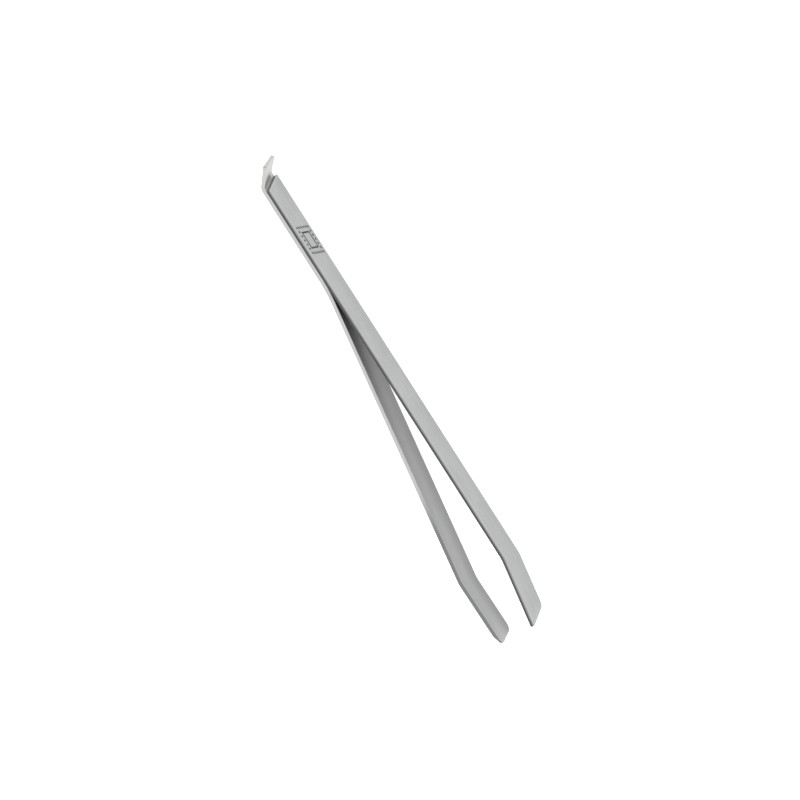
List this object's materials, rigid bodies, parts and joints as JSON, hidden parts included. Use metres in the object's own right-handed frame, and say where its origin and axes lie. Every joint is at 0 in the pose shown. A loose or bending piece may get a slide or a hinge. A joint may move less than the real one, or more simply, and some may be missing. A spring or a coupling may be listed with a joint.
{
  "type": "stamp tongs",
  "caption": "Spring-steel tongs of two long flat strips joined at the heel, with inward-bent slanted tips and a short turned-up tab on the longer strip.",
  "frame": {"origin": "bottom centre of the bounding box of the tongs lying on the long edges of their blades, open", "axes": "+X from the heel to the tips, +Y from the far blade to the near blade, +Z across the width of the strips"},
  "size_m": [0.1202, 0.0154, 0.0084],
  "materials": {
    "near_blade_steel": "satin nickel-plated spring steel",
    "far_blade_steel": "satin nickel-plated spring steel",
    "weld_metal": "fused steel, not plated"
  },
  "bodies": {
    "heel": {"near_blade_heel": "near_blade_steel", "far_blade_heel": "far_blade_steel", "weld_nugget_1": "weld_metal", "weld_nugget_2": "weld_metal"},
    "near_arm": {"near_blade_arm": "near_blade_steel"},
    "far_arm": {"far_blade_arm": "far_blade_steel"}
  },
  "joints": [
    {"name": "near_arm_flex", "type": "hinge", "parent": "heel", "child": "near_arm", "pos_m": [-0.01651, 0.00468, 0.00413], "axis": [0, 0, -1], "range_deg": [0, 2.96], "stiffness_Nm_per_rad": 3.32},
    {"name": "far_arm_flex", "type": "hinge", "parent": "heel", "child": "far_arm", "pos_m": [-0.01669, 0.00222, 0.00413], "axis": [0, 0, 1], "range_deg": [0, 2.96], "stiffness_Nm_per_rad": 3.32}
  ],
  "couplings": [
    {"joint": "far_arm_flex", "follows": "near_arm_flex", "ratio": 1}
  ]
}
